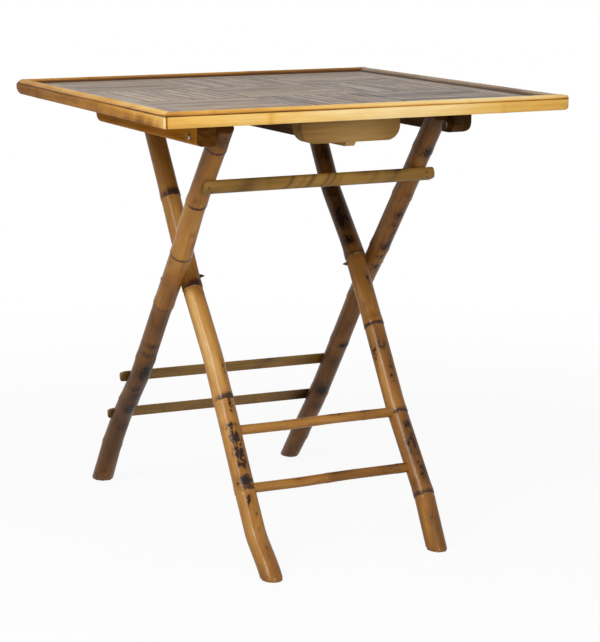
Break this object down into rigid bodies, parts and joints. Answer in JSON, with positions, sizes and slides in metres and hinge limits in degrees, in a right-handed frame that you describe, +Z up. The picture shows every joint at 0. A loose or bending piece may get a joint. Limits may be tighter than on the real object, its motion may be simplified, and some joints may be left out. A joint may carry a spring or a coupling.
{
  "type": "folding tray table",
  "caption": "Square bamboo tray with a raised rim and slatted parquet surface, on crossed cane legs that fold like scissors while the tray tips up.",
  "frame": {"origin": "on the floor, under the middle of the open table's box", "axes": "+X to the right along the front edge of the tray, +Y to the back, +Z up"},
  "size_m": [0.65, 0.6918, 0.7],
  "materials": {
    "tray_slats": "varnished bamboo slats, grey-brown",
    "rim_bamboo": "varnished split bamboo, pale honey",
    "edge_bamboo": "varnished bamboo strip, honey",
    "tray_board": "raw board",
    "dark_wood": "varnished hardwood, orange-brown",
    "pale_wood": "thinly varnished wood",
    "bamboo_cane": "varnished scorched bamboo cane",
    "split_bamboo": "varnished split bamboo",
    "steel": "plain steel"
  },
  "bodies": {
    "outer_frame": {"left_outer_leg": "bamboo_cane", "right_outer_leg": "bamboo_cane", "upper_rung": "split_bamboo", "upper_back_batten": "split_bamboo", "lower_back_batten": "split_bamboo", "rung_nails": "steel", "batten_nails": "steel", "left_hinge_screw": "steel", "right_hinge_screw": "steel", "hinge_washers": "steel", "left_pivot_pin": "steel", "right_pivot_pin": "steel"},
    "inner_frame": {"left_inner_leg": "bamboo_cane", "right_inner_leg": "bamboo_cane", "upper_round_rung": "split_bamboo", "lower_round_rung": "split_bamboo", "tenon_nails": "steel"},
    "tray": {"tray_board": "tray_board", "border_slats": "tray_slats", "lengthwise_slats": "tray_slats", "crosswise_slats": "tray_slats", "front_edge_strip": "edge_bamboo", "back_edge_strip": "edge_bamboo", "left_edge_strip": "edge_bamboo", "right_edge_strip": "edge_bamboo", "front_rim_strip": "rim_bamboo", "back_rim_strip": "rim_bamboo", "left_rim_strip": "rim_bamboo", "right_rim_strip": "rim_bamboo", "rim_brads": "steel", "left_cleat": "dark_wood", "right_cleat": "dark_wood", "cross_block": "pale_wood", "centre_rail": "dark_wood", "stop_batten": "dark_wood", "cleat_screws": "steel", "underframe_screws": "steel"}
  },
  "joints": [
    {"name": "leg_fold", "type": "hinge", "parent": "outer_frame", "child": "inner_frame", "pos_m": [0, -0.00334, 0.40639], "axis": [1, 0, 0], "range_deg": [0, 71]},
    {"name": "tray_tilt", "type": "hinge", "parent": "outer_frame", "child": "tray", "pos_m": [0, -0.19691, 0.6485], "axis": [1, 0, 0], "range_deg": [0, 126.4]}
  ],
  "couplings": [
    {"joint": "tray_tilt", "follows": "leg_fold", "ratio": 1.78}
  ]
}
